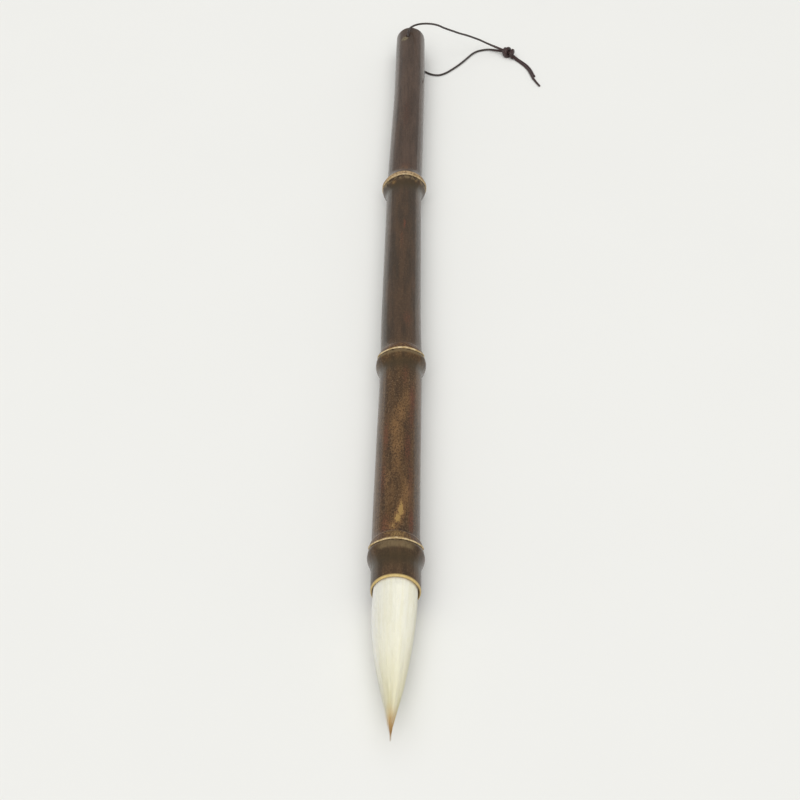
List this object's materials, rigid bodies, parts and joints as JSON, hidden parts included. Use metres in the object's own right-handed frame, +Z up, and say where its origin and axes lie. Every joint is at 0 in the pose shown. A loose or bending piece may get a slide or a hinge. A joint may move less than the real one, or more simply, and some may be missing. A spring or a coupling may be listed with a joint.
{
  "type": "calligraphy brush",
  "caption": "Writing brush with a lacquered dark bamboo pole, swollen natural joints, a pointed pale hair tuft that bends, and a knotted hanging loop that swings at the rear end.",
  "frame": {"origin": "on the surface that the joints rest on, under the pole's axis, midway between the tuft's point and the pole's rear end; the hanging loop isn't counted", "axes": "+Y along the brush from the tuft's point toward the rear end, +Z up, +X to the side on which the hanging loop lies"},
  "size_m": [0.0496, 0.2918, 0.0148],
  "materials": {
    "bamboo": "dark brown stained bamboo under clear gloss lacquer, with golden mottling at the joints and a bare golden rim at the mouth",
    "sheath": "satin tan sheath scar",
    "plug_wood": "dark stained turned wood under gloss lacquer",
    "glue": "set tan glue, satin",
    "rosin": "amber rosin, glassy",
    "thread": "matt cotton thread",
    "core_hair": "brown springy hair, satin along the strands",
    "waist_hair": "pale short hair, matt",
    "cover_hair": "cream goat hair, soft sheen along the strands",
    "cord": "waxed dark maroon twisted cord, low sheen"
  },
  "bodies": {
    "handle": {"culm": "bamboo", "sheath_stub_front": "sheath", "sheath_stub_middle": "sheath", "sheath_stub_rear": "sheath", "end_plug": "plug_wood", "socket_glue": "glue", "root_seal": "rosin", "root_binding_thread": "thread", "core_hair_root": "core_hair", "waist_hair": "waist_hair", "cover_hair_root": "cover_hair"},
    "tuft_front": {"core_hair_point": "core_hair", "cover_hair_tip": "cover_hair"},
    "hanging_loop": {"loop_cord_upper": "cord", "loop_cord_lower": "cord", "loop_knot": "cord"}
  },
  "joints": [
    {"name": "tuft_bend", "type": "hinge", "parent": "handle", "child": "tuft_front", "pos_m": [0, -0.108, 0.00625], "axis": [0, 0, 1], "range_deg": [-35, 35], "stiffness_Nm_per_rad": 0.01},
    {"name": "loop_swing", "type": "hinge", "parent": "handle", "child": "hanging_loop", "pos_m": [-0.0008, 0.137, 0.00625], "axis": [0, 0, 1], "range_deg": [-45, 160]}
  ]
}
